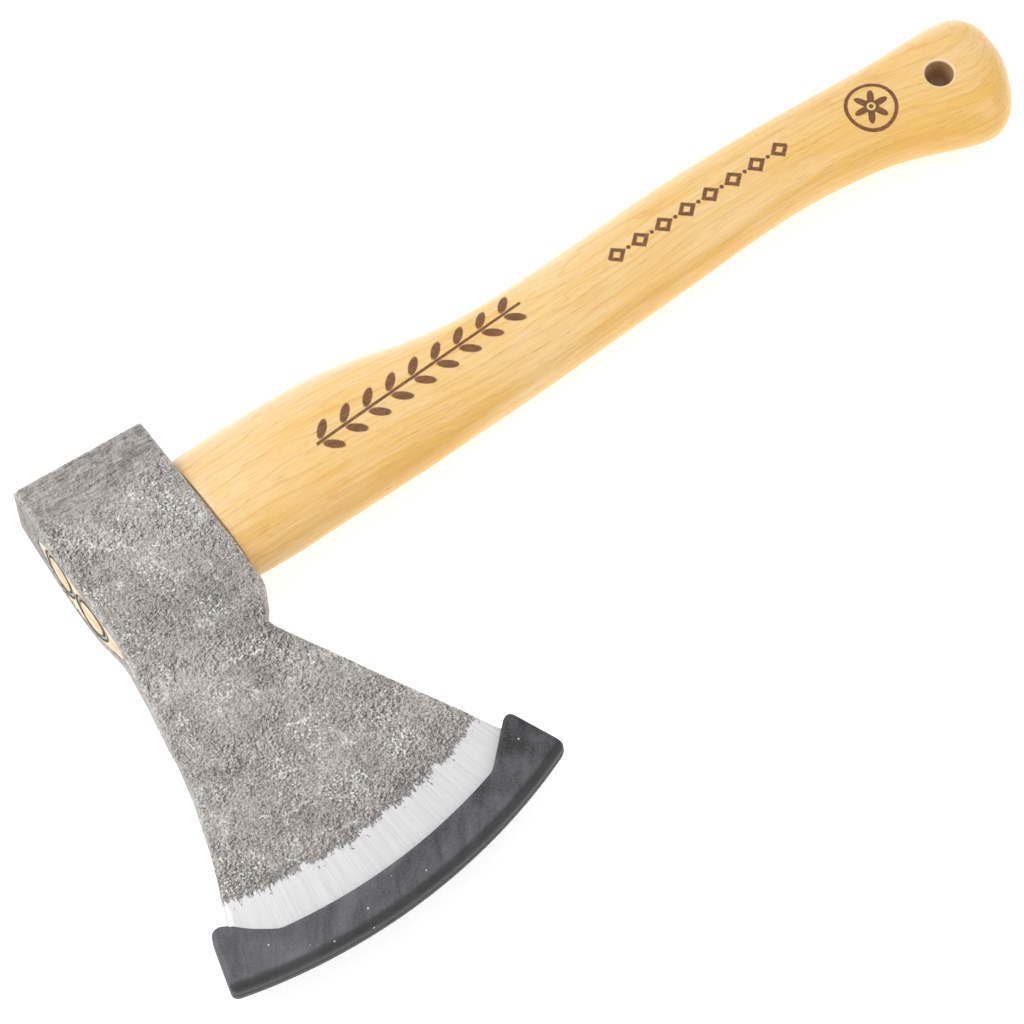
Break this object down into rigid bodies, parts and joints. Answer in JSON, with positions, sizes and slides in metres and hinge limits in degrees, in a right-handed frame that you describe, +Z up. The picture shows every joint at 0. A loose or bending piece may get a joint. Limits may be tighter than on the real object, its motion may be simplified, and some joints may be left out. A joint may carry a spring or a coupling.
{
  "type": "carving hatchet",
  "caption": "Carving hatchet lying on its side: forged flared head wedged on a curved wooden handle with a hanging hole, and a pull-off rubber guard over the cutting edge.",
  "frame": {"origin": "under the middle of the outline, on the surface that the hatchet lies on; the middle plane of the tool is 14.5 mm above it", "axes": "+X along the handle from the head to the knob, +Y from the cutting edge to the poll, +Z up through the thickness"},
  "size_m": [0.3865, 0.1825, 0.029],
  "materials": {
    "forged_steel": "mid-grey forge scale with fine pits and pale scratches, and a bright brushed bevel along the cutting edge",
    "hickory": null,
    "wedge_wood": "bare end grain of a hardwood wedge",
    "wedge_steel": "bare steel ring, dull grey",
    "guard_rubber": "charcoal moulded rubber, satin, slightly mottled"
  },
  "bodies": {
    "hatchet": {"head": "forged_steel", "handle": "hickory", "wood_wedge": "wedge_wood", "ring_wedge_poll": "wedge_steel", "ring_wedge_blade": "wedge_steel"},
    "guard": {"edge_guard": "guard_rubber"}
  },
  "joints": [
    {"name": "guard_pull", "type": "slide", "parent": "hatchet", "child": "guard", "axis": [0, -1, 0], "range_m": [0, 0.035], "deforming": ["edge_guard"]}
  ]
}
